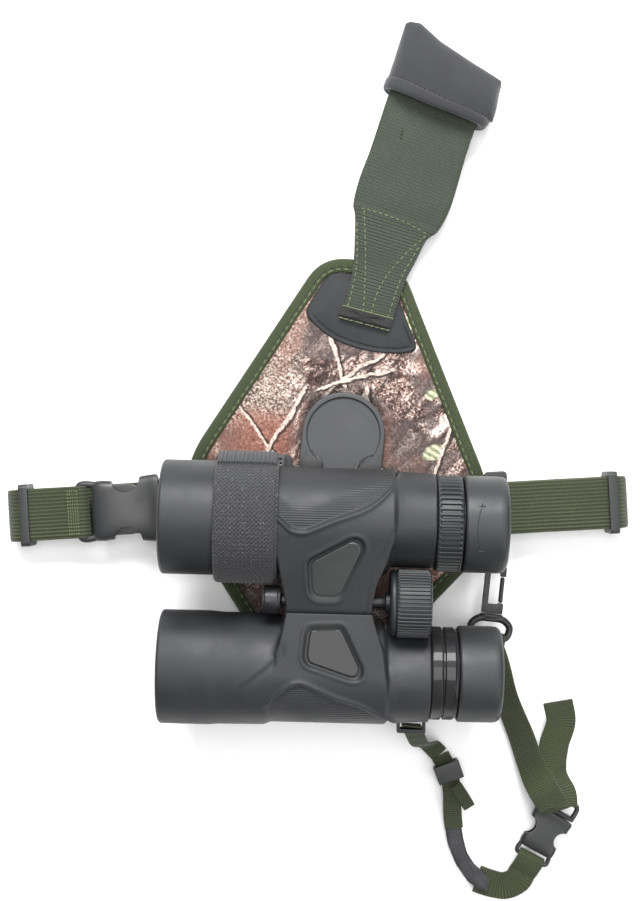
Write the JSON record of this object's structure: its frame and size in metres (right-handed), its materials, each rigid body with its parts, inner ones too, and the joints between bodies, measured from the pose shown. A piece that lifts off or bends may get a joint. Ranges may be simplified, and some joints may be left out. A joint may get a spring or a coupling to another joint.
{
  "type": "binocular harness pack",
  "caption": "One-shoulder harness with a padded kite-shaped chest panel, a side-release waist belt, a sliding dock that carries binoculars across the chest, and a clip-on tether.",
  "frame": {"origin": "on the flat back face of the chest panel, under the centre of the docking hub", "axes": "+Z out of the chest side of the panel, towards the binoculars; +Y up the panel to the shoulder strap; +X to the eyepiece end, the wearer's left when the panel is worn on the chest"},
  "size_m": [0.3045, 0.4221, 0.0852],
  "materials": {
    "lining": "black mesh lining",
    "foam": "closed-cell foam",
    "camo": "printed woven face, bark and leaf camouflage",
    "binding": "folded olive tape, matte",
    "black_synthetic": "smooth black synthetic leather",
    "olive_webbing": "olive webbing, cross ribbed",
    "belt_webbing": "olive webbing, lengthwise ridges",
    "neoprene": "charcoal neoprene, matte",
    "black_tape": "black tape",
    "receptacle_plastic": "grey-black nylon",
    "black_plastic": "black acetal, satin",
    "gloss_plastic": "black, polished",
    "armour": "charcoal rubber armour, matte",
    "eyecup_rubber": "soft rubber, matte",
    "black_metal": "black anodised",
    "lens": "coated",
    "prism_glass": "clear",
    "hook_loop": "woven hook-and-loop tape",
    "elastic": "ribbed elastic",
    "steel": "plated wire",
    "tether_webbing": "dark olive webbing, cross ribbed",
    "leather": "black leather, smooth"
  },
  "bodies": {
    "harness": {"panel_lining": "lining", "panel_foam": "foam", "panel_face": "camo", "edge_binding": "binding", "top_patch": "black_synthetic", "shoulder_strap": "olive_webbing", "shoulder_strap_tail": "olive_webbing", "shoulder_pad": "neoprene", "pad_hem": "neoprene", "strap_anchor": "black_tape", "receptacle_plate": "receptacle_plastic", "receptacle_rails": "black_plastic", "belt_buckle_male": "black_plastic", "left_anchor_webbing": "belt_webbing", "belt_ring": "black_plastic", "right_anchor_webbing": "belt_webbing", "right_belt": "belt_webbing", "right_slide": "black_plastic", "tether_ring": "steel", "hook_eye": "black_metal", "tether_webbing": "tether_webbing", "tether_tail": "tether_webbing", "tether_buckle_female": "black_plastic", "tether_buckle_male": "black_plastic", "tether_stub": "olive_webbing", "leather_tab": "leather", "thin_webbing": "tether_webbing", "thin_slide": "black_plastic", "thin_end_tab": "tether_webbing"},
    "left_belt_unit": {"left_belt": "belt_webbing", "left_slide": "black_plastic", "belt_buckle_female": "black_plastic"},
    "binocular": {"hub": "black_plastic", "bracket": "black_plastic", "hook_loop_strap": "hook_loop", "strap_keeper": "elastic", "right_barrel": "armour", "right_neck": "armour", "right_objective_lens": "lens", "right_prism": "prism_glass", "right_eyepiece_tube": "black_metal", "right_eyepiece_lens": "lens", "hinge_shaft": "black_metal", "tripod_socket": "black_metal"},
    "left_half": {"left_barrel": "armour", "left_neck": "armour", "left_objective_lens": "lens", "left_prism": "prism_glass", "left_eyepiece_tube": "black_metal", "left_eyepiece_lens": "lens", "left_ocular_ring": "gloss_plastic", "lug_loop": "tether_webbing"},
    "focus": {"focus_wheel": "eyecup_rubber"},
    "dioptre": {"dioptre_ring": "eyecup_rubber"},
    "right_cup": {"right_eyecup": "eyecup_rubber"},
    "left_cup": {"left_eyecup": "eyecup_rubber"},
    "prong_front": {"belt_prong_front": "black_plastic"},
    "prong_rear": {"belt_prong_rear": "black_plastic"},
    "hook": {"hook_body": "black_metal"},
    "gate": {"hook_gate": "black_metal"}
  },
  "joints": [
    {"name": "binocular_lift", "type": "slide", "parent": "harness", "child": "binocular", "axis": [0, 1, 0], "range_m": [0, 0.045]},
    {"name": "barrel_fold", "type": "hinge", "parent": "binocular", "child": "left_half", "pos_m": [0.00282, -0.03589, 0.063], "axis": [0.9969, 0.0785, 0], "range_deg": [-22, 0]},
    {"name": "focus_turn", "type": "hinge", "parent": "binocular", "child": "focus", "pos_m": [0.03672, -0.03322, 0.063], "axis": [0.9969, 0.0785, 0], "range_deg": [-200, 200]},
    {"name": "dioptre_turn", "type": "hinge", "parent": "binocular", "child": "dioptre", "pos_m": [0.04985, 0.00392, 0.057], "axis": [0.9969, 0.0785, 0], "range_deg": [-30, 30]},
    {"name": "right_eyecup_extend", "type": "slide", "parent": "binocular", "child": "right_cup", "axis": [0.9969, 0.0785, 0], "range_m": [0, 0.008]},
    {"name": "left_eyecup_extend", "type": "slide", "parent": "left_half", "child": "left_cup", "axis": [0.9969, 0.0785, 0], "range_m": [0, 0.008]},
    {"name": "belt_release", "type": "slide", "parent": "harness", "child": "left_belt_unit", "axis": [-0.9863, -0.165, 0], "range_m": [0, 0.03]},
    {"name": "prong_front_pinch", "type": "hinge", "parent": "harness", "child": "prong_front", "pos_m": [-0.08447, 0.00481, 0.0145], "axis": [0, 0, 1], "range_deg": [0, 5], "stiffness_Nm_per_rad": 0.02},
    {"name": "prong_rear_pinch", "type": "hinge", "parent": "harness", "child": "prong_rear", "pos_m": [-0.0815, -0.01294, 0.0145], "axis": [0, 0, -1], "range_deg": [0, 5], "stiffness_Nm_per_rad": 0.02},
    {"name": "hook_swivel", "type": "hinge", "parent": "harness", "child": "hook", "pos_m": [0.0801, -0.03, 0.0145], "axis": [0, 1, 0], "range_deg": [-10, 10]},
    {"name": "hook_gate_open", "type": "hinge", "parent": "hook", "child": "gate", "pos_m": [0.0837, -0.0323, 0.0145], "axis": [0, 0, 1], "range_deg": [0, 14], "stiffness_Nm_per_rad": 0.01}
  ]
}
